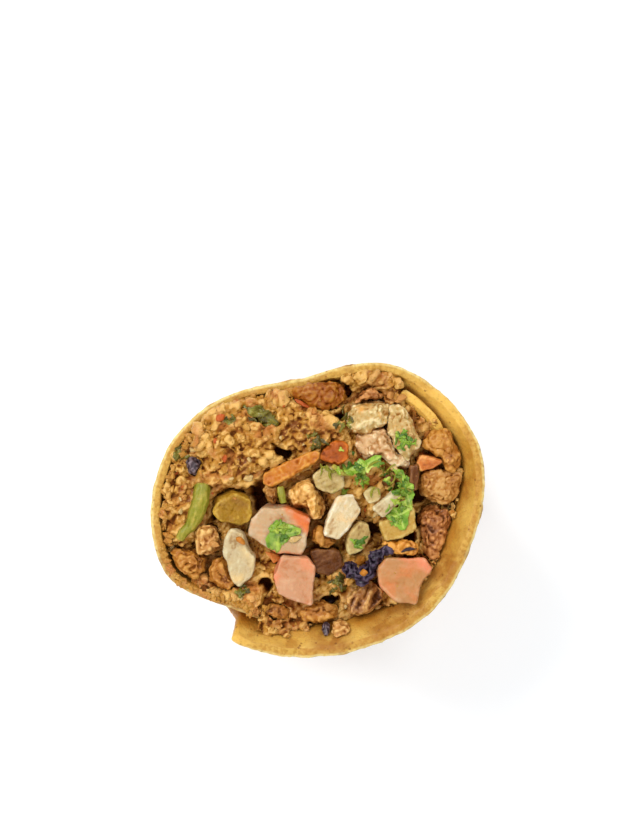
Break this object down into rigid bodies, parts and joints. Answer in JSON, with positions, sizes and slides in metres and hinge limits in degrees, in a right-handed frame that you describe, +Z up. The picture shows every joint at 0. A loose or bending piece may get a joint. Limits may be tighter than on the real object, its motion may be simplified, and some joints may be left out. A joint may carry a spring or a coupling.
{
  "type": "burrito half",
  "caption": "Cut half of a flour-tortilla burrito standing on its folded end, showing chopped meat, diced tomato, onion, pepper, beans and cilantro on the cut face.",
  "frame": {"origin": "middle of the object's box, on the flat base of the folded end", "axes": "+Z up out of the cut face along the roll, +X to the right and +Y to the top of the cut face as pictured"},
  "size_m": [0.075, 0.0664, 0.0798],
  "materials": {
    "tortilla": "matte toasted flour tortilla, golden with small brown spots",
    "filling": "oily chopped and seasoned meat, uneven",
    "meat": "seasoned chopped meat, semi-matte with an oily sheen",
    "chicken": "pale cooked chicken, semi-matte",
    "tomato": "wet diced tomato flesh with redder skin",
    "onion": "translucent wet onion",
    "potato": "soft cooked potato, semi-matte",
    "pepper": "glossy cooked orange pepper",
    "cilantro": "fresh green leaf and stem, slightly glossy",
    "bean": "dark glossy bean skin"
  },
  "bodies": {
    "root": {"tortilla": "tortilla", "filling": "filling", "meat_1": "meat", "meat_2": "meat", "meat_3": "meat", "meat_4": "meat", "meat_5": "meat", "meat_6": "meat", "meat_7": "meat", "meat_8": "meat", "meat_9": "meat", "meat_10": "meat", "meat_11": "meat", "meat_12": "meat", "meat_13": "meat", "meat_14": "meat", "meat_15": "meat", "chicken_1": "chicken", "chicken_2": "chicken", "chicken_3": "chicken", "tomato_1": "tomato", "tomato_2": "tomato", "tomato_3": "tomato", "tomato_4": "tomato", "onion_1": "onion", "onion_2": "onion", "onion_3": "onion", "onion_4": "onion", "onion_5": "onion", "onion_6": "onion", "onion_7": "onion", "onion_8": "onion", "onion_9": "onion", "potato_1": "potato", "pepper_1": "pepper", "potato_2": "potato", "pepper_2": "pepper", "cilantro_1": "cilantro", "cilantro_2": "cilantro", "cilantro_3": "cilantro", "cilantro_4": "cilantro", "cilantro_5": "cilantro", "cilantro_6": "cilantro", "stem_1": "cilantro", "stem_2": "cilantro", "stem_3": "cilantro", "bean_1": "bean", "bean_2": "bean", "bean_skin": "bean"}
  },
  "joints": []
}
